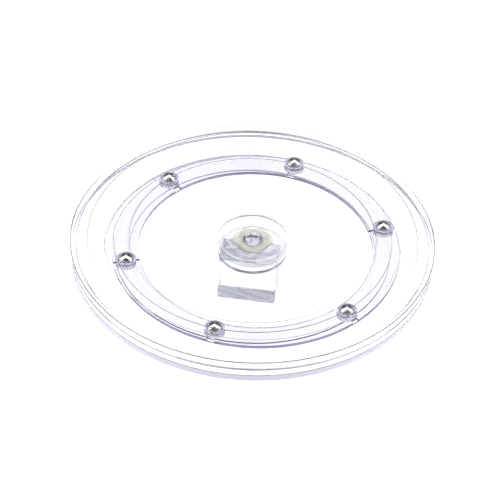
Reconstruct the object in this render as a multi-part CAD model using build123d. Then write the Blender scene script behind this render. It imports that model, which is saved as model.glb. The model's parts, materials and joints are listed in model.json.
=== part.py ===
from build123d import *

import os

# A clear turntable display stand: two clear discs that turn on six steel balls, on a clear block.
# Origin: on the spin axis, in the plane that the block stands on. +Z is up, +Y points to the back.

# ---- Driving dimensions, in millimetres and degrees ----

# Pedestal block
block_width = 32.6
block_depth = 19.0
block_height = 27.8
block_turn = -7.0        # the block stands a little askew to the viewing direction
block_shift = -1.5       # and its centre lies a little to the left of the spin axis
block_edge = 0.4         # ground chamfer

# Both plates
top_radius = 101.6
bottom_radius = 101.2
track_gap = 0.05         # play between a ball and each plate
ball_radius = 4.5
corner = 0.4             # broken outer corners of the mouldings
guide_radius = 82.7      # inner wall of the bottom plate's thick outer ring; it guides the cage

# Bottom plate
bottom_rim_height = 4.25
bottom_web = 2.8
track_inner = 68.7
track_outer = 76.9
track_height = 0.8
boss_radius = 19.2
boss_rise = 0.3          # height of the boss above the outer ring

# Top plate
top_web = 0.9            # wall thickness between the hub and the guide radius
top_web_step = 0.4       # the wall is that much thicker from there to the skirt
skirt_inner = 98.3
skirt_height = 5.8
rim_band_inner = 92.0    # the display face steps up to this band at the rim
raised_inner = 68.7      # and to a ring over the balls
raised_outer = 77.6
step_depth = 0.35
race_inner = 69.5        # the web keeps its thickness there, so a race for the balls lies under that ring
race_outer = 77.2

# Ball cage
cage_inner = 65.5
cage_outer = 80.6
cage_thickness = 2.0
cage_lift = 0.2          # clearance over the bottom plate's track
cage_shift = 1.8         # the cage floats sideways inside its guide wall
ball_pitch_radius = 73.5
ball_count = 6
first_ball_angle = 13.75
pocket_play = 0.1
pocket_wall_radius = 5.6
pocket_rise = 1.2        # height of the pocket's lip above the ball's centre
pocket_floor_radius = 3.0
relief_width = 4.0       # thinned strip from each pocket to both edges of the ring
relief_depth = 1.1

# Hub
cup_outer = 19.2
cup_inner = 15.9
cup_waist = 12.6
cup_stand = 1.9          # height of the collar above the display face
cup_waist_depth = 1.2
cup_floor_depth = 4.0
cup_floor_thickness = 2.6
bush_bore = 6.05
bush_outer = 7.6
bush_flange_radius = 9.4
bush_flange = 0.65
shoulder_radius = 6.0
stud_radius = 5.0
stud_slot_width = 1.2
stud_slot_depth = 0.9
nut_play = 0.15
nut_height = 1.8
nut_radius = 10.3        # mean radius of the lobed outline
nut_lobe = 0.8
nut_lobes = 4
stud_stand = 0.9         # end of the stud above the nut

# ---- Levels, worked out from the sizes above ----

bottom_under = block_height
bottom_floor = bottom_under + bottom_web
track_top = bottom_floor + track_height
bottom_top = bottom_under + bottom_rim_height
boss_top = bottom_top + boss_rise
ball_level = track_top + track_gap + ball_radius
race_roof = ball_level + ball_radius + track_gap
display_face = race_roof + top_web
low_face = display_face - step_depth
web_under = low_face - top_web
cage_under = track_top + cage_lift
cage_top = cage_under + cage_thickness
cup_floor = display_face - cup_floor_depth
cup_under = cup_floor - cup_floor_thickness
nut_under = cup_floor + bush_flange + nut_play
nut_top = nut_under + nut_height


def turned(*profile):
    """A solid of revolution about the spin axis, from (radius, height) points of a closed outline."""
    outline = Polyline(*[(radius, 0, height) for radius, height in profile], close=True)
    return revolve(make_face(outline), Axis.Z, 360)


def cylinder(radius, low, high):
    """A round bar on the spin axis between two heights."""
    return Pos(0, 0, (low + high) / 2) * Cylinder(radius, high - low)


def make_block():
    block = Box(block_width, block_depth, block_height)
    block = chamfer(block.edges(), block_edge)
    return Pos(block_shift, 0, block_height / 2) * Rot(0, 0, block_turn) * block


def make_bottom_plate():
    """Dish with a thick outer ring, a raised ball track and a round boss with the stud's hole."""
    return turned(
        (stud_radius, bottom_under),
        (bottom_radius - corner, bottom_under),
        (bottom_radius, bottom_under + corner),
        (bottom_radius, bottom_top - corner),
        (bottom_radius - corner, bottom_top),
        (guide_radius, bottom_top),
        (guide_radius, bottom_floor),
        (track_outer, bottom_floor),
        (track_outer, track_top),
        (track_inner, track_top),
        (track_inner, bottom_floor),
        (boss_radius, bottom_floor),
        (boss_radius, boss_top),
        (stud_radius, boss_top),
    )


def make_top_plate():
    """Thin disc with a skirt at its rim, a raised ring over the balls and a race for them below it."""
    skirt_under = display_face - skirt_height
    return turned(
        (cup_outer, web_under),
        (race_inner, web_under),
        (race_inner, race_roof),
        (race_outer, race_roof),
        (race_outer, web_under),
        (guide_radius, web_under),
        (guide_radius, web_under - top_web_step),
        (skirt_inner, web_under - top_web_step),
        (skirt_inner, skirt_under),
        (top_radius - corner, skirt_under),
        (top_radius, skirt_under + corner),
        (top_radius, display_face - corner),
        (top_radius - corner, display_face),
        (rim_band_inner, display_face),
        (rim_band_inner, low_face),
        (raised_outer, low_face),
        (raised_outer, display_face),
        (raised_inner, display_face),
        (raised_inner, low_face),
        (cup_outer, low_face),
    )


def ball_place(index):
    """Place of a ball's centre, turned so that its local X points outwards."""
    turn = Rot(0, 0, first_ball_angle + index * 360 / ball_count)
    return Pos(cage_shift, 0, ball_level) * turn * Pos(ball_pitch_radius, 0, 0)


def make_cage():
    """Flat ring with six snap-in ball pockets, thinned beside each pocket so that it can flex."""
    middle = Pos(cage_shift, 0, (cage_under + cage_top) / 2)
    ring = middle * (Cylinder(cage_outer, cage_thickness) - Cylinder(cage_inner, cage_thickness))
    pocket_radius = ball_radius + pocket_play
    wall_top = ball_level + pocket_rise
    wall_height = wall_top - cage_under
    hole_height = 2 * cage_thickness
    strip_length = 2 * (cage_outer - cage_inner)
    for index in range(ball_count):
        place = ball_place(index)
        to_strip = Pos(0, 0, cage_top - ball_level)
        ring -= place * to_strip * Box(strip_length, relief_width, 2 * relief_depth)
    for index in range(ball_count):
        place = ball_place(index)
        wall = Pos(0, 0, cage_under - ball_level + wall_height / 2) * Cylinder(pocket_wall_radius, wall_height)
        ring += place * wall
        ring -= place * Sphere(pocket_radius)
        ring -= place * Pos(0, 0, cage_under - ball_level) * Cylinder(pocket_floor_radius, hole_height)
    return ring


def make_ball(index):
    return ball_place(index) * Sphere(ball_radius)


def make_hub_cup():
    """Cup that is pressed into the top plate; its rim stands proud as a collar."""
    return turned(
        (bush_outer, cup_under),
        (cup_outer, cup_under),
        (cup_outer, display_face + cup_stand - corner),
        (cup_outer - corner, display_face + cup_stand),
        (cup_inner, display_face + cup_stand),
        (cup_waist, display_face - cup_waist_depth),
        (cup_waist, cup_floor),
        (bush_outer, cup_floor),
    )


def make_bush():
    """Flanged bush in the cup's floor that turns on the stud's shoulder."""
    return turned(
        (bush_bore, cup_under),
        (bush_outer, cup_under),
        (bush_outer, cup_floor),
        (bush_flange_radius, cup_floor),
        (bush_flange_radius, cup_floor + bush_flange),
        (bush_bore, cup_floor + bush_flange),
    )


def make_stud():
    """Fixed pivot stud: a screwed foot in the boss, a turned shoulder and a slotted end."""
    end = nut_top + stud_stand
    stud = cylinder(stud_radius, bottom_under, end)
    stud += cylinder(shoulder_radius, boss_top, nut_under)
    stud = chamfer(stud.faces().sort_by(Axis.Z)[-1].edges(), corner)
    slot = Pos(0, 0, end) * Box(4 * stud_radius, stud_slot_width, 2 * stud_slot_depth)
    return stud - slot


def make_lobed_nut():
    """Thin nut with a wavy four-lobed outline, screwed down on the stud's shoulder."""
    wave = 360 / nut_lobes
    peaks = [Vector(nut_radius + nut_lobe, 0).rotate(Axis.Z, wave * i) for i in range(nut_lobes)]
    dips = [Vector(nut_radius - nut_lobe, 0).rotate(Axis.Z, wave * (i + 0.5)) for i in range(nut_lobes)]
    points = [point for pair in zip(peaks, dips) for point in pair]
    outline = make_face(Spline(*points, periodic=True))
    nut = Pos(0, 0, nut_under) * extrude(outline, nut_height)
    return nut - cylinder(stud_radius, nut_under, nut_top)


parts = {
    "pedestal_block": make_block(),
    "bottom_plate": make_bottom_plate(),
    "pivot_stud": make_stud(),
    "lobed_nut": make_lobed_nut(),
    "top_plate": make_top_plate(),
    "hub_cup": make_hub_cup(),
    "pivot_bush": make_bush(),
    "ball_cage": make_cage(),
}
for index in range(ball_count):
    parts[f"ball_{index + 1}"] = make_ball(index)

os.makedirs("parts", exist_ok=True)
for name, solid in parts.items():
    export_step(solid, f"parts/{name}.step")
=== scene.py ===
"""Clear turntable display stand: its finished pieces, its materials and a studio around it.

Every piece is a surface worked out on a grid of points with numpy, in metres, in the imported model's
own frame: the spin axis is Z, and the block stands on Z = 0.
"""

import json
from math import cos, pi, radians, sin

import bmesh
import bpy
import numpy as np
from bpy.props import FloatProperty, FloatVectorProperty, IntProperty, PointerProperty
from mathutils import Matrix, Vector

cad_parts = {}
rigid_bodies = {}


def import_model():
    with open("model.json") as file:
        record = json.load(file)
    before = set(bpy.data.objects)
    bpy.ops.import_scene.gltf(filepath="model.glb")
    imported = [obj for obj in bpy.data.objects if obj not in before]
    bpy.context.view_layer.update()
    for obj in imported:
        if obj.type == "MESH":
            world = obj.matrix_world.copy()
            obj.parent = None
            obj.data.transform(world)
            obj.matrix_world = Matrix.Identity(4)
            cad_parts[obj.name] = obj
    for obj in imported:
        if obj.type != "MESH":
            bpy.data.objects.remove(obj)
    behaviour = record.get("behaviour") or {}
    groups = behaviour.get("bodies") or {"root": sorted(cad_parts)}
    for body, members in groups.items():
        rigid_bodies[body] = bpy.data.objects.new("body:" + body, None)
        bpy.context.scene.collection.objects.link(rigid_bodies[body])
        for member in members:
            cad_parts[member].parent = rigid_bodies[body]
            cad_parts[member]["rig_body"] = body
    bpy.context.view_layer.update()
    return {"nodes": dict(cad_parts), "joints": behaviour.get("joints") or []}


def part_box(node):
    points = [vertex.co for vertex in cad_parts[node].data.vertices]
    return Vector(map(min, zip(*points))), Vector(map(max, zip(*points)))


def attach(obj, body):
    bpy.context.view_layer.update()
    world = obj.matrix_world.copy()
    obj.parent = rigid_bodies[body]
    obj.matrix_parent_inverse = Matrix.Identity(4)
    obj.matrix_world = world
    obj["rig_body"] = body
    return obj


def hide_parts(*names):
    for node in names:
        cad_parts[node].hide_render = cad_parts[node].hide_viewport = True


bl_info = {
    "name": "Turntable Display Stand",
    "version": (1, 0, 0),
    "blender": (4, 5, 0),
    "location": "View3D > Sidebar > Stand",
    "description": "Builds a clear turntable display stand around its packed model",
    "category": "Add Mesh",
}

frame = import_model()

MM = 0.001
CAGE_REACH = radians(8)    # half of the stretch of cage ring that belongs to one pocket
BALLS = sorted(node for node in frame["nodes"] if node.startswith("ball_") and node != "ball_cage")
TOP_LOW, TOP_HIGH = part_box("top_plate")
BOTTOM_LOW, BOTTOM_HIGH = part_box("bottom_plate")
CAGE_LOW, CAGE_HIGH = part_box("ball_cage")
CUP_LOW, CUP_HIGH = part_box("hub_cup")
BUSH_LOW, BUSH_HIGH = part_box("pivot_bush")
NUT_LOW, NUT_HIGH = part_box("lobed_nut")
STUD_LOW, STUD_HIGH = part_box("pivot_stud")
BLOCK_LOW, BLOCK_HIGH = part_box("pedestal_block")


def length(name, description, millimetres):
    """A size property, given in millimetres and kept in metres."""
    return FloatProperty(name=name, description=description, default=millimetres * MM, unit="LENGTH",
                         precision=5, min=0.0)


def colour(name, description, rgb):
    return FloatVectorProperty(name=name, description=description, default=rgb, subtype="COLOR",
                               size=3, min=0.0, max=4.0)


class StandSizes(bpy.types.PropertyGroup):
    """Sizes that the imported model's boxes don't tell."""

    around: IntProperty(name="Steps Around", description="Steps in a full turn of the plates",
                        default=360, min=48, max=720)
    edge: length("Plate Edge", "Rounding of the plates' outer corners", 0.4)
    soft_edge: length("Soft Edge", "Rounding that the mould leaves on inner corners", 0.15)
    gap: length("Joint Gap", "Air left between clear pieces that touch", 0.03)

    web: length("Top Web", "Wall thickness of the top plate inside the guide radius", 0.9)
    step: length("Step", "How far the display face drops between its raised bands", 0.35)
    raised_inner: length("Raised Ring Inside", "Inner radius of the raised ring over the balls", 68.7)
    raised_outer: length("Raised Ring Outside", "Outer radius of the raised ring over the balls", 77.6)
    race_inner: length("Race Inside", "Inner radius of the race below the raised ring", 69.5)
    race_outer: length("Race Outside", "Outer radius of the race below the raised ring", 77.2)
    web_step: length("Web Step", "How much thicker the top plate is outside the guide radius", 0.4)
    guide: length("Guide Wall", "Inner radius of the bottom plate's outer ring", 82.7)
    rim_band: length("Rim Band", "Inner radius of the band at the rim", 92.0)
    skirt: length("Skirt", "Inner radius of the top plate's skirt", 98.3)

    bottom_web: length("Bottom Web", "Thickness of the bottom plate inside its outer ring", 2.8)
    rim_height: length("Bottom Rim", "Height of the bottom plate's outer ring", 4.25)
    track_height: length("Track Height", "Height of the ball track over the bottom plate's floor", 0.8)
    track_inner: length("Track Inside", "Inner radius of the ball track", 68.7)
    track_outer: length("Track Outside", "Outer radius of the ball track", 76.9)

    cage_inner: length("Cage Inside", "Inner radius of the ball cage", 65.5)
    cage_outer: length("Cage Outside", "Outer radius of the ball cage", 80.6)
    cage_thickness: length("Cage Thickness", "Thickness of the ball cage's ring", 2.0)
    pocket_wall: length("Pocket Wall", "Outer radius of a ball pocket", 5.6)
    pocket_play: length("Pocket Play", "Air between a ball and its pocket", 0.1)
    pocket_hole: length("Pocket Hole", "Radius of the hole under a ball", 3.0)
    relief_width: length("Relief Width", "Width of the thinned strip beside a pocket", 4.0)
    relief_depth: length("Relief Depth", "Depth of the thinned strip beside a pocket", 1.1)

    wall_frost: FloatProperty(name="Cage Wall Frost", description="How matt the ball cage's cut walls are",
                              default=0.5, min=0.0, max=1.0)

    cup_inner: length("Cup Inside", "Inner radius of the hub cup's collar", 15.9)
    cup_waist: length("Cup Waist", "Radius of the hub cup's lower bore", 12.6)
    cup_floor: length("Cup Floor", "Thickness of the hub cup's floor", 2.6)
    collar: length("Collar", "Height of the cone inside the collar", 3.1)
    bush_outer: length("Bush", "Outer radius of the pivot bush", 7.6)
    bush_bore: length("Bush Bore", "Bore radius of the pivot bush", 6.05)
    bush_flange: length("Bush Flange", "Thickness of the pivot bush's flange", 0.65)
    stud_radius: length("Stud", "Radius of the stud's slotted end", 5.0)
    slot_width: length("Slot Width", "Width of the stud's slot", 1.2)
    slot_depth: length("Slot Depth", "Depth of the stud's slot", 0.9)
    nut_radius: length("Nut", "Mean radius of the lobed nut", 10.3)
    nut_lobe: length("Nut Lobe", "Height of the nut's lobes over its mean radius", 0.8)
    nut_lobes: IntProperty(name="Nut Lobes", description="Lobes around the nut", default=4, min=3)

    block_width: length("Block Width", "Long side of the pedestal block", 32.6)
    block_depth: length("Block Depth", "Short side of the pedestal block", 19.0)
    block_turn: FloatProperty(name="Block Turn", description="Turn of the pedestal block about the spin axis",
                              default=radians(-7.0), subtype="ANGLE")
    block_wave: length("Block Wave", "Depth of the ripples in the block's sawn underside", 0.35)


class StandColours(bpy.types.PropertyGroup):
    """Colours of the plastics and the steel."""

    clear: colour("Clear Plastic", "Colour that clear plastic lets through", (0.60, 0.58, 0.85))
    block: colour("Block Plastic", "Colour that the pedestal block lets through", (0.52, 0.56, 0.80))
    density: FloatProperty(name="Clear Density", default=10.0, min=0.0,
                           description="How soon clear plastic takes up its colour, per metre")
    cage_density: FloatProperty(name="Cage Density", default=14.0, min=0.0,
                                description="How many times denser the ball cage's plastic is")
    cup_passing: FloatProperty(name="Cup Clearness", default=0.75, min=0.0, max=1.0,
                               description="Share of light that goes straight on through the hub cup")
    # Painted shade: a dark colour mixed into clear plastic's base colour at sharp edges, in place of the
    # shade that refraction gives there
    edge: colour("Painted Edge Shade", "Colour of the sharp edges of clear plastic", (0.012, 0.012, 0.022))
    plate_wall: colour("Unpolished Plate Walls", "Colour of the plates' unpolished walls", (0.85, 0.84, 0.97))
    cage_wall: colour("Unpolished Cage Walls", "Colour of the ball cage's cut walls", (0.80, 0.80, 0.93))
    sawn: colour("Sawn Face", "Colour of the pedestal block's sawn underside", (0.90, 0.92, 1.0))
    cream: colour("Cream Nylon", "Colour of the lobed nut", (1.0, 0.985, 0.93))
    natural: colour("Natural Nylon", "Colour of the pivot bush", (0.85, 0.84, 0.80))
    steel: colour("Steel", "Colour of the balls", (0.46, 0.46, 0.465))


class StandStudio(bpy.types.PropertyGroup):
    """The floor, the light around the stand, and the camera."""

    floor_light: FloatProperty(name="Floor Light", description="Brightness of the glowing floor", default=1.4)
    sky_light: FloatProperty(name="Overhead Light", description="Brightness of the white overhead light",
                             default=3.6)
    back_colour: colour("Back Wall", "Colour of the room behind the stand", (0.40, 0.39, 0.45))
    dark_colour: colour("Dark Flags", "Colour of the dark flags around the camera", (0.012, 0.012, 0.014))
    elevation: FloatProperty(name="Camera Elevation", description="Height of the camera over the horizon",
                             default=radians(41.1), subtype="ANGLE")
    roll: FloatProperty(name="Camera Roll", description="Tilt of the camera about its own view line",
                        default=radians(2.1), subtype="ANGLE")
    distance: FloatProperty(name="Camera Distance", description="Distance in plate radii", default=15.29)
    lens: FloatProperty(name="Lens", description="Focal length in millimetres", default=200.9)
    shift: FloatVectorProperty(name="Lens Shift", description="Shift of the picture, in its own width",
                               size=2, default=(-0.0055, -0.0262))


def sizes():
    return bpy.context.scene.stand_sizes


def colours():
    return bpy.context.scene.stand_colours


def studio():
    return bpy.context.scene.stand_studio


# ---- Surfaces -------------------------------------------------------------------------------------


def grid_faces(rows, columns, close_rows=True, close_columns=True):
    """Quads between neighbouring points of a grid that is numbered row by row.

    A closed direction joins its last line to its first. A face points along rows x columns.
    """
    row = np.arange(rows if close_rows else rows - 1)[:, None]
    column = np.arange(columns if close_columns else columns - 1)[None, :]
    next_row = (row + 1) % rows
    next_column = (column + 1) % columns
    corners = (row * columns + column, next_row * columns + column,
               next_row * columns + next_column, row * columns + next_column)
    return np.stack(corners, axis=-1).reshape(-1, 4)


def unit(vectors):
    return vectors / np.linalg.norm(vectors, axis=-1, keepdims=True)


def rounded_outline(corners, steps=6, closed=True):
    """Points, outward normals and finish of an outline through (radius, height, rounding) corners.

    Each corner gives way to an arc that touches both of its sides: it starts rounding x tan(half the
    turn) before the corner, and each of its points lies at that start plus the rounding times the
    change of the outward normal since the start. The outline runs anticlockwise. A corner's fourth
    number is the painted shade of its arc, a darker colour that stands in for the shade that refraction
    gives at a sharp edge, and its fifth is the frost of the side that follows.
    """
    corners = np.array([(*corner, 0, 0)[:5] for corner in corners], float)
    place, rounding = corners[:, :2], corners[:, 2:3]
    before = unit(place - np.roll(place, 1, axis=0))
    after = unit(np.roll(place, -1, axis=0) - place)
    if not closed:
        before[0], after[-1] = after[0], before[-1]
    heading = np.arctan2(before[:, 1], before[:, 0])[:, None]
    sideways = before[:, 0] * after[:, 1] - before[:, 1] * after[:, 0]
    turn = np.arctan2(sideways, (before * after).sum(1))[:, None]
    start = place - before * rounding * np.abs(np.tan(turn / 2))
    angle = heading + turn * np.linspace(0, 1, steps + 1)[None, :]
    outward = np.stack([np.sin(angle), -np.cos(angle)], axis=-1)
    points = start[:, None, :] + (np.sign(turn) * rounding)[:, :, None] * (outward - outward[:, :1])
    finish = np.zeros((len(corners), steps + 1, 2))
    finish[:, 1:-1, 0] = corners[:, 3:4]
    finish[:, 0, 1], finish[:, -1, 1] = np.roll(corners[:, 4], 1), corners[:, 4]
    return points.reshape(-1, 2), outward.reshape(-1, 2), finish.reshape(-1, 2)


def revolve(outline, outward, around):
    """Grid of an outline's points carried round Z: (radius cos turn, radius sin turn, height)."""
    turn = np.linspace(0, 2 * pi, around, endpoint=False)[:, None]
    points = np.stack([outline[:, 0] * np.cos(turn), outline[:, 0] * np.sin(turn),
                       outline[:, 1] + 0 * turn], axis=-1)
    normals = np.stack([outward[:, 0] * np.cos(turn), outward[:, 0] * np.sin(turn),
                        outward[:, 1] + 0 * turn], axis=-1)
    return points.reshape(-1, 3), normals.reshape(-1, 3)


def new_piece(name, points, faces, normals=None, finish=None):
    """A mesh object from arrays of points and quads, shaded smooth, with exact normals where known.

    Finish holds two numbers from 0 to 1 for each point of a clear piece: its painted shade, how much
    darker colour is painted at its sharp edges in place of the shade that refraction gives there, and
    its frost, how much its unpolished walls scatter.
    """
    mesh = bpy.data.meshes.new(name)
    mesh.from_pydata(points.tolist(), [], faces.tolist())
    mesh.shade_smooth()
    if normals is not None:
        mesh.normals_split_custom_set_from_vertices(normals.tolist())
    for name_of_layer, values in zip(("shade", "frost"), () if finish is None else finish.T):
        layer = mesh.attributes.new(name_of_layer, "FLOAT", "POINT")
        layer.data.foreach_set("value", np.ascontiguousarray(values, "f"))
    piece = bpy.data.objects.new(name, mesh)
    bpy.context.scene.collection.objects.link(piece)
    return piece


def join_and_crease(piece, crease=radians(35), reach=2e-6):
    """Merges points that meet, then creases sharp edges and keeps the flats flat in the shading."""
    work = bmesh.new()
    work.from_mesh(piece.data)
    bmesh.ops.remove_doubles(work, verts=work.verts, dist=reach)
    bmesh.ops.recalc_face_normals(work, faces=work.faces)
    work.to_mesh(piece.data)
    work.free()
    piece.data.shade_smooth()
    piece.data.set_sharp_from_angle(angle=crease)
    flats = piece.modifiers.new("flat_faces", "WEIGHTED_NORMAL")
    flats.mode = "FACE_AREA"
    flats.weight = 100
    flats.keep_sharp = True
    return piece


def turned(name, corners, around):
    """Solid of revolution from the corners of its section."""
    outline, outward, finish = rounded_outline(corners)
    points, normals = revolve(outline, outward, around)
    return new_piece(name, points, grid_faces(around, len(outline)), normals, np.tile(finish, (around, 1)))


def place_in_stand(piece, node, material):
    """The piece rides on its node's body, stands for the node, and takes its material."""
    piece.data.materials.append(material)
    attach(piece, frame["nodes"][node]["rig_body"])
    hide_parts(node)


# ---- Materials ------------------------------------------------------------------------------------


class Value:
    """A number on its way through a node tree. Arithmetic on it adds Math nodes."""

    def __init__(self, nodes, socket):
        self.nodes = nodes
        self.socket = socket

    def _math(self, operation, *numbers):
        return self.nodes.add("ShaderNodeMath", {"operation": operation}, dict(enumerate(numbers)))

    def __add__(self, other):
        return self._math("ADD", self, other)

    def __sub__(self, other):
        return self._math("SUBTRACT", self, other)

    def __rsub__(self, other):
        return self._math("SUBTRACT", other, self)

    def __mul__(self, other):
        return self._math("MULTIPLY", self, other)

    def __truediv__(self, other):
        return self._math("DIVIDE", self, other)

    def __pow__(self, other):
        return self._math("POWER", self, other)

    __radd__ = __add__
    __rmul__ = __mul__

    def most(self, other):
        return self._math("MAXIMUM", self, other)

    def size(self):
        return self._math("ABSOLUTE", self)

    def between(self, low, high):
        """0 below low, 1 above high, and a smooth rise between them."""
        return self.nodes.add("ShaderNodeMapRange", {"interpolation_type": "SMOOTHSTEP"},
                              {"Value": self, "From Min": low, "From Max": high})


class Nodes:
    """A node tree that is being filled."""

    def __init__(self, tree):
        self.tree = tree
        tree.nodes.clear()

    def add(self, kind, settings=None, sockets=None, output=0):
        """Places a node: its settings first, then the values or links of its sockets."""
        node = self.tree.nodes.new(kind)
        for name, setting in (settings or {}).items():
            setattr(node, name, setting)
        for name, value in (sockets or {}).items():
            if isinstance(value, Value):
                self.tree.links.new(value.socket, node.inputs[name])
            else:
                node.inputs[name].default_value = value
        return Value(self, node.outputs[output])

    def dot(self, vector, direction):
        return self.add("ShaderNodeVectorMath", {"operation": "DOT_PRODUCT"},
                        {0: vector, 1: direction}, "Value")

    def mix(self, factor, first, second):
        """A colour between two colours. The numbers are the places of the node's colour sockets."""
        return self.add("ShaderNodeMix", {"data_type": "RGBA"}, {0: factor, 6: first, 7: second}, 2)

    def layer(self, name):
        """A number that the mesh holds at each of its points."""
        return self.add("ShaderNodeAttribute", {"attribute_name": name}, output="Fac")

    def object_place(self):
        return self.add("ShaderNodeTexCoord", output="Object")

    def finish(self, surface, volume=None, kind="ShaderNodeOutputMaterial"):
        out = self.tree.nodes.new(kind)
        self.tree.links.new(surface.socket, out.inputs["Surface"])
        if volume is not None:
            self.tree.links.new(volume.socket, out.inputs["Volume"])


def new_material(name):
    material = bpy.data.materials.new(name)
    material.use_nodes = True
    return material, Nodes(material.node_tree)


def rgba(rgb):
    return (*rgb, 1.0)


def clear_plastic(name, tint, density, base_roughness, scratches, ripple, pale, passing=0.0):
    """Polished clear plastic: fine scratches that scatter a little, and a faint flow ripple.

    Its sharp edges carry painted shade, a darker base colour that stands in for the shade that refraction
    gives there, and its unpolished walls scatter light in the pale colour. Passing is the share of light
    that goes straight on without bending. It makes a piece paler than clear plastic is.
    """
    material, nodes = new_material(name)
    place = nodes.object_place()
    fine = nodes.add("ShaderNodeTexNoise", None, {"Vector": place, "Scale": 900.0, "Detail": 2.0})
    hazy = nodes.add("ShaderNodeTexNoise", None, {"Vector": place, "Scale": 60.0, "Detail": 3.0})
    wear = fine.between(0.60, 0.72) * hazy.between(0.52, 0.70)
    flow = nodes.add("ShaderNodeTexNoise", None, {"Vector": place, "Scale": 45.0, "Detail": 1.0})
    normal = nodes.add("ShaderNodeBump", None, {"Strength": ripple, "Distance": 0.0002, "Height": flow})
    # Painted shade: the base colour is drawn towards the edge colour where the shade layer is high, at sharp
    # edges
    shaded = nodes.mix(nodes.layer("shade"), (1.0, 1.0, 1.0, 1.0), rgba(colours().edge))
    surface = nodes.add("ShaderNodeBsdfPrincipled", None, {
        "Base Color": shaded, "Roughness": wear * scratches + base_roughness, "IOR": 1.49,
        "Transmission Weight": 1.0, "Normal": normal})
    surface = nodes.add("ShaderNodeMixShader", None, {
        "Fac": passing, 1: surface, 2: nodes.add("ShaderNodeBsdfTransparent")})
    matt = nodes.add("ShaderNodeMixShader", None, {
        "Fac": 0.3, 1: nodes.add("ShaderNodeBsdfDiffuse", None, {"Color": rgba(pale)}),
        2: nodes.add("ShaderNodeBsdfTranslucent", None, {"Color": rgba(pale)})})
    surface = nodes.add("ShaderNodeMixShader", None, {"Fac": nodes.layer("frost"), 1: surface, 2: matt})
    volume = nodes.add("ShaderNodeVolumeAbsorption", None, {"Color": rgba(tint), "Density": density})
    nodes.finish(surface, volume)
    return material


def milky_nylon(name, tint, through):
    """Translucent moulded nylon, a little cloudier in some places than in others."""
    material, nodes = new_material(name)
    place = nodes.object_place()
    cloud = nodes.add("ShaderNodeTexNoise", None, {"Vector": place, "Scale": 260.0, "Detail": 3.0})
    shade = nodes.mix(cloud.between(0.35, 0.65), rgba([c * 0.93 for c in tint]), rgba(tint))
    grain = nodes.add("ShaderNodeTexNoise", None, {"Vector": place, "Scale": 1800.0, "Detail": 2.0})
    normal = nodes.add("ShaderNodeBump", None, {"Strength": 0.12, "Distance": 0.0001, "Height": grain})
    surface = nodes.add("ShaderNodeBsdfPrincipled", None, {
        "Base Color": shade, "Roughness": cloud * 0.12 + 0.16, "IOR": 1.53,
        "Transmission Weight": through, "Normal": normal})
    nodes.finish(surface)
    return material


def ball_steel(name, centre):
    """Mirror steel with hair scratches that run round the ball as it rolls."""
    material, nodes = new_material(name)
    place = nodes.add("ShaderNodeMapping", {"vector_type": "TEXTURE"},
                      {"Vector": nodes.object_place(), "Location": centre})
    hair = nodes.add("ShaderNodeTexNoise", None, {"Vector": place, "Scale": 2600.0, "Detail": 3.0})
    surface = nodes.add("ShaderNodeBsdfPrincipled", None, {
        "Base Color": rgba(colours().steel), "Metallic": 1.0,
        "Roughness": hair.between(0.55, 0.8) * 0.03 + 0.01})
    nodes.finish(surface)
    return material


# ---- Pieces ---------------------------------------------------------------------------------------


def top_plate():
    """Thin disc with a skirt at its rim, a raised ring over the balls and a race for them below it."""
    s = sizes()
    radius, face, skirt_under = TOP_HIGH.x, TOP_HIGH.z, TOP_LOW.z
    low_face = face - s.step
    web_under = low_face - s.web
    race_roof = face - s.web
    bore = CUP_HIGH.x + s.gap
    soft, fine = s.soft_edge, s.soft_edge / 2
    # Fourth numbers are painted shade on the arcs; fifth numbers are the frost of the side that follows
    return turned("turning_plate", [
        (bore, web_under, fine), (s.race_inner, web_under, fine), (s.race_inner, race_roof, fine),
        (s.race_outer, race_roof, fine), (s.race_outer, web_under, fine), (s.guide, web_under, soft, 1.0),
        (s.guide, web_under - s.web_step, soft, 0.7), (s.skirt, web_under - s.web_step, soft, 0.6, 0.2),
        (s.skirt, skirt_under, soft, 0.1), (radius, skirt_under, s.edge, 0.35), (radius, face, s.edge, 1.0),
        (s.rim_band, face, soft, 1.0), (s.rim_band, low_face, soft, 0.6),
        (s.raised_outer, low_face, soft, 0.3), (s.raised_outer, face, soft, 0.9),
        (s.raised_inner, face, soft, 0.9), (s.raised_inner, low_face, soft, 0.3),
        (bore, low_face, fine)], s.around)


def bottom_plate():
    """Dish with a thick outer ring, a raised ball track and a round boss."""
    s = sizes()
    radius, under, boss_top = BOTTOM_HIGH.x, BOTTOM_LOW.z, BOTTOM_HIGH.z
    floor = under + s.bottom_web
    track = floor + s.track_height
    rim_top = under + s.rim_height
    boss = CUP_HIGH.x
    bore = s.stud_radius + s.gap
    under = under + s.gap
    soft, fine = s.soft_edge, s.soft_edge / 2
    # Fourth numbers are painted shade on the arcs; fifth numbers are the frost of the side that follows
    return turned("fixed_plate", [
        (bore, under, fine), (radius, under, s.edge, 0.0, 0.9), (radius, rim_top, s.edge, 0.3),
        (s.guide, rim_top, soft, 0.8), (s.guide, floor, soft, 0.8),
        (s.track_outer, floor, soft, 0.5), (s.track_outer, track, soft, 0.8),
        (s.track_inner, track, soft, 0.8), (s.track_inner, floor, soft, 0.5),
        (boss, floor, soft, 0.0, 0.5), (boss, boss_top, soft, 0.3), (bore, boss_top, fine)], s.around)


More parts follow.
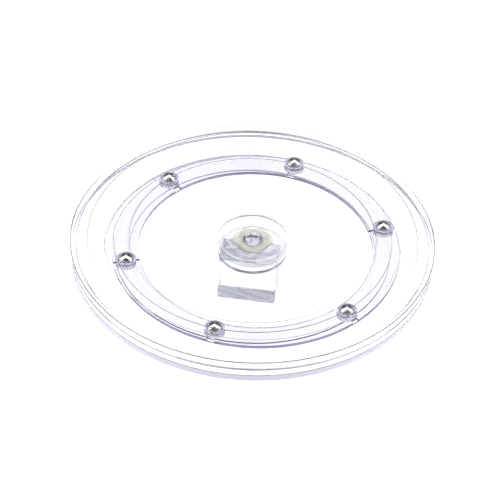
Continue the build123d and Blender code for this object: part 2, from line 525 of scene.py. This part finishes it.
def hub_cup():
    """Cup whose rim stands proud of the plate as a collar, coned inside down to a narrower bore."""
    s = sizes()
    radius, under, rim = CUP_HIGH.x, CUP_LOW.z, CUP_HIGH.z
    floor = under + s.cup_floor
    bore = s.bush_outer + s.gap
    soft = s.soft_edge
    # Fourth numbers are painted shade on the arcs; fifth numbers are the frost of the side that follows
    return turned("hub_collar_cup", [
        (bore, under, soft), (radius, under, 2 * soft, 0.2, 0.06), (radius, rim, s.edge, 0.2),
        (s.cup_inner, rim, 2 * soft, 0.2, 0.2), (s.cup_waist, rim - s.collar, 3 * soft, 0.2, 0.1),
        (s.cup_waist, floor, 2 * soft, 0.2), (bore, floor, soft)],
        s.around // 2)


def pivot_bush():
    """Flanged sleeve in the cup's floor."""
    s = sizes()
    flange, under, top = BUSH_HIGH.x, BUSH_LOW.z, BUSH_HIGH.z
    seat = top - s.bush_flange + s.gap
    fine = s.soft_edge / 2
    return turned("pivot_sleeve", [
        (s.bush_bore, under, fine), (s.bush_outer, under, fine), (s.bush_outer, seat, fine),
        (flange, seat, fine), (flange, top, fine), (s.bush_bore, top, fine)], s.around // 3)


def lobed_nut():
    """Flat nut whose outline swings in and out: radius = mean + lobe x cos(lobes x turn)."""
    s = sizes()
    around = s.around // 2
    low, high = NUT_LOW.z, NUT_HIGH.z
    bore = s.stud_radius + s.gap
    soft = s.edge
    outline, *_ = rounded_outline([
        (bore, low, soft / 2), (s.nut_radius, low, soft), (s.nut_radius, high, soft), (bore, high, soft / 2)])
    turn = np.linspace(0, 2 * pi, around, endpoint=False)[:, None]
    share = (outline[:, 0] - bore) / (s.nut_radius - bore)
    radius = outline[:, 0] + share * s.nut_lobe * np.cos(s.nut_lobes * turn)
    points = np.stack([radius * np.cos(turn), radius * np.sin(turn), outline[:, 1] + 0 * turn], axis=-1)
    nut = new_piece("wavy_nut", points.reshape(-1, 3), grid_faces(around, len(outline)))
    return join_and_crease(nut, radians(50))


def pivot_stud():
    """Shouldered stud with a slot across its end.

    Its section is carried round Z up to the rim of the end face. From there each line runs in along X to
    the middle, so a point of the end face is (across x cos turn, rim x sin turn), and lines within half a
    slot's width of the X axis lie at the slot's floor.
    """
    s = sizes()
    low, end = STUD_LOW.z, STUD_HIGH.z
    radius, shoulder = s.stud_radius, STUD_HIGH.x
    seat, boss = NUT_LOW.z, BOTTOM_HIGH.z
    fine = s.soft_edge / 2
    rim = radius - 1.2 * s.edge
    half_slot = s.slot_width / 2
    section, *_ = rounded_outline([
        (0, low, 0), (radius, low, fine), (radius, boss, fine), (shoulder, boss, fine),
        (shoulder, seat, fine), (radius, seat, fine), (radius, end, s.edge), (rim, end, 0)], 4, closed=False)
    slot_sides = np.arcsin(np.array([half_slot - fine, half_slot + fine]) / rim)
    plain = np.linspace(slot_sides[1], pi / 2, 15)
    quarter = np.concatenate([np.linspace(0, slot_sides[0], 4), plain])
    side = np.concatenate([-quarter[:0:-1], quarter])
    turn = np.concatenate([side, pi - side[-2:0:-1]])[:, None]
    inward = np.linspace(rim, 0, 9)[1:]
    across = np.concatenate([section[:, 0], inward])
    height = np.concatenate([section[:, 1], 0 * inward + end])
    wide = np.concatenate([section[:, 0], 0 * inward + rim])
    in_slot = np.abs(rim * np.sin(turn)) < half_slot
    z = np.where(in_slot, np.minimum(height, end - s.slot_depth), height + 0 * turn)
    points = np.stack([across * np.cos(turn), wide * np.sin(turn), z], axis=-1).reshape(-1, 3)
    stud = new_piece("slotted_stud", points, grid_faces(len(turn), len(across), close_columns=False))
    return join_and_crease(stud, radians(40))


def cage_loop(s, inner, outer, pitch):
    """The lines that run from a ball pocket out to the edge of its stretch of ring.

    Gives, for each line: its angle round the pocket, the radius and turn where it ends on the stretch's
    outline, and whether it lies in the thinned strip. The lines keep to both sides of that strip.
    """
    half, fine = s.relief_width / 2, s.soft_edge / 2
    low, high = half - fine, half + fine
    near = [np.arcsin(low / s.pocket_wall), np.arcsin(high / s.pocket_wall)]
    angle = [0, near[0], near[1], pi / 3, 2 * pi / 3, pi - near[1], pi - near[0], pi]
    radius = [outer] * 4 + [inner] * 4
    turn = [0, np.arcsin(low / outer), np.arcsin(high / outer), CAGE_REACH,
            CAGE_REACH, np.arcsin(high / inner), np.arcsin(low / inner), 0]
    lines = (5, 1, 7, 12, 7, 1, 5)
    along = [np.linspace(k, k + 1, count, endpoint=False) for k, count in enumerate(lines)]
    along = np.concatenate(along + [[len(lines)]])
    angle, radius, turn = (np.interp(along, range(8), values) for values in (angle, radius, turn))
    thinned = (along <= 1) | (along >= 6)
    both = [np.concatenate([v, sign * v[-2:0:-1]]) for v, sign in ((angle, -1), (radius, 1), (turn, -1))]
    stretch_side = (along >= 3) & (along <= 4)
    return (*both, np.concatenate([thinned, thinned[-2:0:-1]]), radius[stretch_side], sum(lines[:3]))


def cage_rim(edge, top, under, steps=5):
    """Outline of the ring's rounded edge: how far it stands out, and its height, from top to underside."""
    swing = np.linspace(0, pi / 2, steps)
    out = edge * np.concatenate([np.sin(swing), np.cos(swing)])
    upper = top - edge * (1 - np.cos(swing))
    lower = under + edge * (1 - np.sin(swing)) + 0 * top
    return out, np.concatenate([upper, lower], axis=-1)


def ball_cage():
    """Flat ring with a round pocket at each ball.

    A pocket's stretch of ring is a grid of lines round the pocket by steps along a path: in under the
    ring, up the hole, up the sphere that holds the ball, over the lip, down the pocket's wall and out
    over the ring. The stretches between pockets are the ring's section carried round.
    """
    s = sizes()
    under, lip = CAGE_LOW.z, CAGE_HIGH.z
    top = under + s.cage_thickness
    edge = s.soft_edge
    inner, outer = s.cage_inner + edge, s.cage_outer - edge
    middle = np.array([(CAGE_LOW.x + CAGE_HIGH.x) / 2, 0, 0])
    spots = np.array([np.add(*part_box(node)) / 2 for node in BALLS])
    arms = spots - middle
    pitch = np.hypot(arms[:, 0], arms[:, 1]).mean()
    spacing = 2 * pi / len(BALLS)
    first = (np.arctan2(arms[:, 1], arms[:, 0]) % spacing).mean()
    level = spots[0, 2]
    pocket = (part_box(BALLS[0])[1].z - level) + s.pocket_play

    angle, radius, turn, thinned, stations, strip_lines = cage_loop(s, inner, outer, pitch)
    angle, radius, turn, thinned = (v[:, None] for v in (angle, radius, turn, thinned))
    drop = np.where(thinned, s.relief_depth, 0)

    foot = -np.arccos(s.pocket_hole / pocket)
    brow = np.arcsin((lip - level) / pocket)
    swing = np.linspace(foot, brow, 18)
    holding = np.stack([pocket * np.cos(swing), level + pocket * np.sin(swing)], axis=-1)
    hole_edge, *_ = rounded_outline([
        (s.pocket_hole + 3 * edge, under, 0), (s.pocket_hole, under, edge),
        (s.pocket_hole, level + pocket * np.sin(foot), 0)], 4, closed=False)
    over, _, over_finish = rounded_outline([
        (holding[-1, 0], lip, 0), (s.pocket_wall, lip, edge, 0, 0.5), (s.pocket_wall, top, edge),
        (s.pocket_wall + 2 * edge, top, 0)], 5, closed=False)
    path = np.concatenate([hole_edge, holding, over])
    at_root = path[:, 1] < (top + lip) / 2
    at_root[:len(hole_edge) + len(holding)] = False
    x = pitch + path[:, 0] * np.cos(angle)
    y = path[:, 0] * np.sin(angle)
    z = path[:, 1] - drop * at_root
    ends = [radius * np.cos(turn), radius * np.sin(turn)]
    x, y = (np.concatenate([end, v, end], axis=1) for end, v in zip(ends, (x, y)))
    z = np.concatenate([0 * drop + under, z, top - drop], axis=1)
    finish = np.zeros((*z.shape, 2))
    finish[:, -1 - len(over):-1] = over_finish
    patches = [(np.stack([x, y, z], axis=-1), True, False, finish)]

    lines = len(angle)
    for at, sign in ((np.arange(-strip_lines, strip_lines + 1), 1),
                     (np.arange(-strip_lines, strip_lines + 1) + lines // 2, -1)):
        at = at % lines
        out, z = cage_rim(edge, top - drop[at], under)
        r = radius[at] + sign * out
        frost = s.wall_frost * (out > 0.3 * edge) * ~thinned[at]
        patches.append((np.stack([r * np.cos(turn[at]), r * np.sin(turn[at]), z], axis=-1), False, False,
                        np.stack([0 * frost, frost], axis=-1)))

    out, z = cage_rim(edge, np.array([top]), under)
    section_r = np.concatenate([outer + out, stations[1:-1], (inner - out)[::-1], stations[-2:0:-1]])
    section_z = np.concatenate([z, 0 * stations[1:-1] + under, z[::-1], 0 * stations[1:-1] + top])
    between = np.linspace(CAGE_REACH, spacing - CAGE_REACH, 61)[:, None]
    frost = s.wall_frost * ((section_r > outer + 0.3 * edge) | (section_r < inner - 0.3 * edge)) + 0 * between
    section = [section_r * np.cos(between), section_r * np.sin(between), section_z + 0 * between]
    patches.append((np.stack(section, axis=-1), False, True, np.stack([0 * frost, frost], axis=-1)))

    points, faces, finishes, count = [], [], [], 0
    for arm in first + spacing * np.arange(len(BALLS)):
        swivel = np.array([[cos(arm), sin(arm), 0], [-sin(arm), cos(arm), 0], [0, 0, 1]])
        for grid, close_rows, close_columns, finish in patches:
            points.append(grid.reshape(-1, 3) @ swivel + middle)
            faces.append(grid_faces(*grid.shape[:2], close_rows, close_columns) + count)
            finishes.append(finish.reshape(-1, 2))
            count += len(points[-1])
    cage = new_piece("ball_ring_cage", np.concatenate(points), np.concatenate(faces),
                     finish=np.concatenate(finishes))
    return join_and_crease(cage)


def steel_ball(node, around=96):
    """Sphere whose poles lie on the line that the ball rolls about."""
    low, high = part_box(node)
    centre, radius = (low + high) / 2, (high.z - low.z) / 2
    joint = next(j for j in frame["joints"] if j["child"] == node)
    axle = Vector(joint["axis"]).normalized()
    across = axle.orthogonal().normalized()
    third = axle.cross(across)
    lift = np.linspace(-pi / 2, pi / 2, around // 2 + 1)[None, :, None]
    turn = np.linspace(0, 2 * pi, around, endpoint=False)[:, None, None]
    outward = (np.cos(lift) * (np.cos(turn) * np.array(across) + np.sin(turn) * np.array(third))
               + np.sin(lift) * np.array(axle))
    points = outward.reshape(-1, 3) * radius + np.array(centre)
    ball = new_piece("steel_" + node, points, grid_faces(around, around // 2 + 1, close_columns=False))
    return join_and_crease(ball, pi, 1e-6)


def filled_in(outline, outward, spacing):
    """The same closed outline with more points on its long sides."""
    outline, outward = (np.concatenate([v, v[:1]]) for v in (outline, outward))
    run = np.concatenate([[0], np.cumsum(np.linalg.norm(np.diff(outline, axis=0), axis=1))])
    at = np.unique(np.round(np.concatenate([run[:-1], np.arange(0, run[-1], spacing)]), 9))[:-1]
    return [np.stack([np.interp(at, run, v[:, k]) for k in (0, 1)], axis=-1) for v in (outline, outward)]


def sawn_ripple(x, y):
    """Height from 0 to 1 of a sawn face: two slanted sets of waves, one bent by the other."""
    bend = np.sin(x / (4.2 * MM) + 0.7) * 0.9 + np.sin(y / (3.1 * MM)) * 0.5
    long_wave = np.sin(y / (1.9 * MM) + bend + 0.35 * x / MM)
    short_wave = np.sin(x / (5.2 * MM) - y / (6.0 * MM) + 1.3)
    return 0.5 + 0.3 * long_wave + 0.2 * short_wave


def pedestal_block():
    """Block with rounded edges: its outline, drawn in by the path's inset, at the path's height.

    Over the top and the underside the drawn-in outline shrinks to the middle. The underside is rippled.
    """
    s = sizes()
    top = BLOCK_HIGH.z - s.gap
    half_x, half_y = s.block_width / 2, s.block_depth / 2
    edge, corner = s.edge, 1.5 * s.edge
    loop, outward, _ = rounded_outline([
        (-half_x, -half_y, corner), (half_x, -half_y, corner),
        (half_x, half_y, corner), (-half_x, half_y, corner)], 5)
    loop, outward = filled_in(loop, outward, 0.5 * MM)
    swing = np.linspace(0, pi / 2, 5)
    inset = edge * np.concatenate([1 - np.sin(swing), 1 - np.cos(swing)])
    height = np.concatenate([edge * (1 - np.cos(swing)), top - edge * (1 - np.sin(swing))])
    walls = loop[:, None, :] - outward[:, None, :] * inset[None, :, None]
    shrink = np.linspace(0, 1, 41)
    flat = walls[:, :1, :] * shrink[None, :-1, None]
    lid = walls[:, -1:, :] * shrink[None, ::-8, None][:, 1:, :]
    xy = np.concatenate([flat, walls, lid], axis=1)
    z = np.concatenate([0 * flat[..., 0], height + 0 * walls[..., 0], 0 * lid[..., 0] + top], axis=1)
    fade = np.clip(1 - z / (2 * MM), 0, 1)
    z = z + s.block_wave * fade * sawn_ripple(xy[..., 0], xy[..., 1])
    cosine, sine = cos(s.block_turn), sin(s.block_turn)
    middle = (BLOCK_LOW + BLOCK_HIGH) / 2
    x = xy[..., 0] * cosine - xy[..., 1] * sine + middle.x
    y = xy[..., 0] * sine + xy[..., 1] * cosine + middle.y
    points = np.stack([x, y, z], axis=-1)
    frost = (z < s.edge / 2) * (0.7 + 0.28 * sawn_ripple(1.7 * xy[..., 0], 1.3 * xy[..., 1]))
    faces = grid_faces(*points.shape[:2], close_columns=False)
    block = new_piece("clear_pedestal", points.reshape(-1, 3), faces,
                      finish=np.stack([0 * frost, frost], axis=-1).reshape(-1, 2))
    return join_and_crease(block, radians(60), 1e-6)


# ---- Studio ---------------------------------------------------------------------------------------


def camera_directions():
    """Unit vectors from the stand to the camera, to the camera's right, and up in its picture."""
    rise = studio().elevation
    return (Vector((0, -cos(rise), sin(rise))), Vector((1, 0, 0)), Vector((0, sin(rise), cos(rise))))


def glowing_floor():
    """A wide round table top that glows evenly."""
    around, radius = 128, 3.0
    outline = np.array([(radius, -0.2 * MM)])
    points, _ = revolve(outline, outline, around)
    mesh = bpy.data.meshes.new("studio_floor")
    mesh.from_pydata(points.tolist(), [], [list(range(around))])
    floor = bpy.data.objects.new("studio_floor", mesh)
    bpy.context.scene.collection.objects.link(floor)
    material, nodes = new_material("glowing_white")
    light = nodes.add("ShaderNodeEmission", None, {"Color": (1, 1, 1, 1), "Strength": studio().floor_light})
    nodes.finish(light)
    mesh.materials.append(material)


def studio_light():
    """White overhead light, a dim room behind the stand and dark flags round the camera.

    Across and upright are the places at which a polished ball, seen from the camera, mirrors each part
    of the room, in ball radii: the part of a direction along the picture's side over twice the cosine of
    half its angle from the camera.
    """
    t = studio()
    towards, right, up = camera_directions()
    world = bpy.data.worlds.new("studio_light")
    world.use_nodes = True
    nodes = Nodes(world.node_tree)
    direction = nodes.add("ShaderNodeTexCoord", output="Generated")
    facing = nodes.dot(direction, towards)
    halving = (facing * 2 + 2).most(0.0001) ** 0.5
    across = (nodes.dot(direction, right) / halving).size()
    upright = nodes.dot(direction, up) / halving
    flag_peak, flag_foot, soft = 0.27, -0.37, 0.02
    flag_half_width = ((flag_peak - upright).most(0.0) * 1.7) ** 0.7 * 0.68
    flag = (flag_half_width - across).between(-soft, soft)
    flag = flag * upright.between(flag_foot - soft / 2, flag_foot + soft / 2)
    room_sill, slant = 0.60, 0.55
    room = (upright + across * slant).between(room_sill - soft, room_sill + soft)
    wall = nodes.mix(across.between(0.05, 0.30), rgba(t.back_colour), rgba(t.dark_colour))
    white = rgba([t.sky_light] * 3)
    seen = nodes.mix(flag, nodes.mix(room, white, wall), rgba(t.dark_colour))
    light = nodes.add("ShaderNodeBackground", None, {"Color": seen, "Strength": 1.0})
    nodes.finish(light, kind="ShaderNodeOutputWorld")
    bpy.context.scene.world = world


def stand_camera():
    """Long lens that looks at the middle of the display face, a little rolled."""
    t = studio()
    towards, right, up = camera_directions()
    target = Vector((0, 0, TOP_HIGH.z))
    lens = bpy.data.cameras.new("stand_camera")
    lens.sensor_width = 36.0
    lens.lens = t.lens
    lens.shift_x, lens.shift_y = t.shift
    lens.clip_start, lens.clip_end = 0.05, 20.0
    camera = bpy.data.objects.new("stand_camera", lens)
    bpy.context.scene.collection.objects.link(camera)
    rolled_right = right * cos(t.roll) + up * sin(t.roll)
    rolled_up = up * cos(t.roll) - right * sin(t.roll)
    turn = Matrix((rolled_right, rolled_up, towards)).transposed().to_4x4()
    camera.matrix_world = Matrix.Translation(target + towards * t.distance * TOP_HIGH.x) @ turn
    bpy.context.scene.camera = camera


def studio_settings():
    """Plain colour handling, and enough bounces for light to cross every clear wall."""
    scene = bpy.context.scene
    scene.view_settings.view_transform = "Standard"
    scene.view_settings.look = "None"
    scene.cycles.max_bounces = 40
    scene.cycles.transmission_bounces = 40
    scene.cycles.glossy_bounces = 12
    scene.cycles.transparent_max_bounces = 16


# ---- Operators ------------------------------------------------------------------------------------


def shared(name, make, *values):
    """The material of that name, made the first time it is asked for."""
    return bpy.data.materials.get(name) or make(name, *values)


def plate_plastic():
    """Both plates are moulded in the same clear plastic."""
    c = colours()
    return shared("polished_plate", clear_plastic, c.clear, c.density, 0.0, 0.05, 0.02, c.plate_wall)


class STAND_OT_top_plate(bpy.types.Operator):
    """Builds the turning top plate"""

    bl_idname = "stand.top_plate"
    bl_label = "Top Plate"

    def execute(self, context):
        place_in_stand(top_plate(), "top_plate", plate_plastic())
        return {"FINISHED"}


class STAND_OT_bottom_plate(bpy.types.Operator):
    """Builds the fixed bottom plate with its ball track"""

    bl_idname = "stand.bottom_plate"
    bl_label = "Bottom Plate"

    def execute(self, context):
        place_in_stand(bottom_plate(), "bottom_plate", plate_plastic())
        return {"FINISHED"}


class STAND_OT_hub_cup(bpy.types.Operator):
    """Builds the hub cup with its collar"""

    bl_idname = "stand.hub_cup"
    bl_label = "Hub Cup"

    def execute(self, context):
        c = colours()
        plastic = shared("cup_clear", clear_plastic, c.clear, c.density, 0.0, 0.05, 0.02, c.plate_wall,
                         c.cup_passing)
        place_in_stand(hub_cup(), "hub_cup", plastic)
        return {"FINISHED"}


class STAND_OT_pivot_bush(bpy.types.Operator):
    """Builds the flanged bush that turns on the stud"""

    bl_idname = "stand.pivot_bush"
    bl_label = "Pivot Bush"

    def execute(self, context):
        nylon = shared("sleeve_nylon", milky_nylon, colours().natural, 0.75)
        place_in_stand(pivot_bush(), "pivot_bush", nylon)
        return {"FINISHED"}


class STAND_OT_pivot_stud(bpy.types.Operator):
    """Builds the clear pivot stud with its slotted end"""

    bl_idname = "stand.pivot_stud"
    bl_label = "Pivot Stud"

    def execute(self, context):
        c = colours()
        plastic = shared("turned_clear", clear_plastic, c.clear, c.density, 0.02, 0.08, 0.05, c.plate_wall)
        place_in_stand(pivot_stud(), "pivot_stud", plastic)
        return {"FINISHED"}


class STAND_OT_lobed_nut(bpy.types.Operator):
    """Builds the cream nut with its wavy outline"""

    bl_idname = "stand.lobed_nut"
    bl_label = "Lobed Nut"

    def execute(self, context):
        nylon = shared("nut_nylon", milky_nylon, colours().cream, 0.75)
        place_in_stand(lobed_nut(), "lobed_nut", nylon)
        return {"FINISHED"}


class STAND_OT_ball_cage(bpy.types.Operator):
    """Builds the ring that holds the balls apart"""

    bl_idname = "stand.ball_cage"
    bl_label = "Ball Cage"

    def execute(self, context):
        c = colours()
        plastic = shared("moulded_clear", clear_plastic, c.clear, c.cage_density * c.density,
                         0.0, 0.06, 0.03, c.cage_wall)
        place_in_stand(ball_cage(), "ball_cage", plastic)
        return {"FINISHED"}


class STAND_OT_steel_balls(bpy.types.Operator):
    """Builds the six steel balls"""

    bl_idname = "stand.steel_balls"
    bl_label = "Steel Balls"

    def execute(self, context):
        for node in BALLS:
            centre = (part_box(node)[0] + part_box(node)[1]) / 2
            place_in_stand(steel_ball(node), node, ball_steel("steel_of_" + node, centre))
        return {"FINISHED"}


class STAND_OT_pedestal_block(bpy.types.Operator):
    """Builds the clear block that the plates stand on"""

    bl_idname = "stand.pedestal_block"
    bl_label = "Pedestal Block"

    def execute(self, context):
        c = colours()
        plastic = shared("sawn_clear", clear_plastic, c.block, c.density, 0.0, 0.05, 0.04, c.sawn)
        place_in_stand(pedestal_block(), "pedestal_block", plastic)
        return {"FINISHED"}


class STAND_OT_studio(bpy.types.Operator):
    """Sets the floor, the light and the camera"""

    bl_idname = "stand.studio"
    bl_label = "Studio"

    def execute(self, context):
        glowing_floor()
        studio_light()
        stand_camera()
        studio_settings()
        return {"FINISHED"}


PIECES = (STAND_OT_top_plate, STAND_OT_bottom_plate, STAND_OT_hub_cup, STAND_OT_pivot_bush,
          STAND_OT_pivot_stud, STAND_OT_lobed_nut, STAND_OT_ball_cage, STAND_OT_steel_balls,
          STAND_OT_pedestal_block, STAND_OT_studio)


class STAND_PT_sidebar(bpy.types.Panel):
    """Lists the stand's pieces"""

    bl_idname = "STAND_PT_sidebar"
    bl_label = "Turntable Stand"
    bl_space_type = "VIEW_3D"
    bl_region_type = "UI"
    bl_category = "Stand"

    def draw(self, context):
        for piece in PIECES:
            self.layout.operator(piece.bl_idname)


GROUPS = {"stand_sizes": StandSizes, "stand_colours": StandColours, "stand_studio": StandStudio}
CLASSES = (*GROUPS.values(), *PIECES, STAND_PT_sidebar)


def register():
    for kind in CLASSES:
        bpy.utils.register_class(kind)
    for name, group in GROUPS.items():
        setattr(bpy.types.Scene, name, PointerProperty(type=group))


def unregister():
    for name in GROUPS:
        delattr(bpy.types.Scene, name)
    for kind in reversed(CLASSES):
        bpy.utils.unregister_class(kind)


def main():
    register()
    for piece in PIECES:
        area, name = piece.bl_idname.split(".")
        getattr(getattr(bpy.ops, area), name)()


if __name__ == "__main__":
    main()
